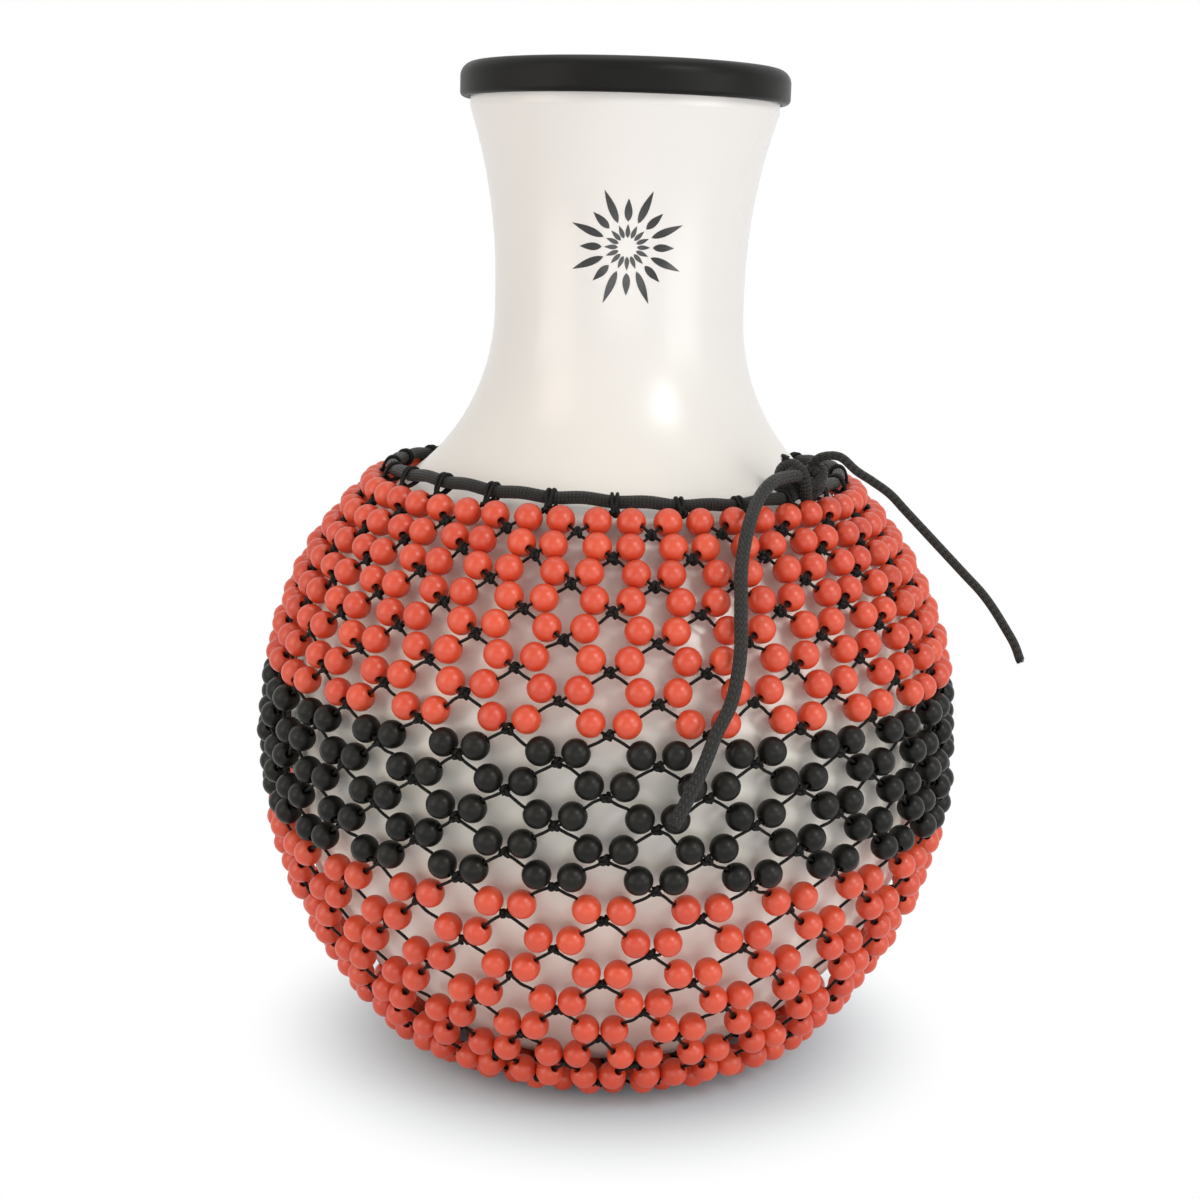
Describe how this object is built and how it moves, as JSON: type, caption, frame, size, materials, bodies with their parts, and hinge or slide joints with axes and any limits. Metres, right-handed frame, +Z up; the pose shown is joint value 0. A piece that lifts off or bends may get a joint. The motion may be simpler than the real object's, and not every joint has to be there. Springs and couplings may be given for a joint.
{
  "type": "shekere",
  "caption": "Gourd-shaped shaker: hollow moulded shell with rubber-trimmed mouth, loose knotted net of orange and black beads, and a braided drawstring with a knot and two loose tails.",
  "frame": {"origin": "on the floor, on the instrument's axis, under the lowest beads", "axes": "+Z up the neck to the mouth, -Y towards the viewer of the picture, +X to its right"},
  "size_m": [0.2575, 0.2526, 0.3434],
  "materials": {
    "shell_gloss": "gloss",
    "rim_rubber": "satin",
    "drawstring": "braided",
    "net_string": "twisted",
    "bead_orange": "satin",
    "bead_black": "satin"
  },
  "bodies": {
    "shell": {"shell": "shell_gloss", "rim_trim": "rim_rubber"},
    "base_ring": {"base_ring": "net_string"},
    "net": {"drawstring_collar": "drawstring", "collar_knot": "drawstring", "tail_front": "drawstring", "tail_side": "drawstring", "collar_hitches": "net_string", "net_row_01": "net_string", "net_row_02": "net_string", "net_row_03": "net_string", "net_row_04": "net_string", "net_row_05": "net_string", "net_row_06": "net_string", "net_row_07": "net_string", "net_row_08": "net_string", "net_row_09": "net_string", "net_row_10": "net_string", "net_row_11": "net_string", "net_row_12": "net_string", "net_row_13": "net_string", "net_row_14": "net_string", "net_row_15": "net_string", "net_row_16": "net_string", "net_row_17": "net_string", "net_row_18": "net_string", "net_row_19": "net_string", "net_row_20": "net_string", "net_row_21": "net_string", "bead_row_01": "bead_orange", "bead_row_02": "bead_orange", "bead_row_03": "bead_orange", "bead_row_04": "bead_orange", "bead_row_05": "bead_orange", "bead_row_06": "bead_orange", "bead_row_07": "bead_orange", "bead_row_08": "bead_orange", "bead_row_09": "bead_black", "bead_row_10": "bead_black", "bead_row_11": "bead_black", "bead_row_12": "bead_black", "bead_row_13": "bead_black", "bead_row_14": "bead_orange", "bead_row_15": "bead_orange", "bead_row_16": "bead_orange", "bead_row_17": "bead_orange", "bead_row_18": "bead_orange", "bead_row_19": "bead_orange", "bead_row_20": "bead_orange", "bead_row_21": "bead_orange", "bead_row_22": "bead_orange", "base_hitches": "net_string"}
  },
  "joints": [
    {"name": "net_drop", "type": "slide", "parent": "shell", "child": "base_ring", "axis": [0, 0, 1], "range_m": [-0.002, 0]},
    {"name": "net_turn", "type": "hinge", "parent": "base_ring", "child": "net", "pos_m": [0, 0, 0], "axis": [0, 0, 1], "continuous": true}
  ]
}
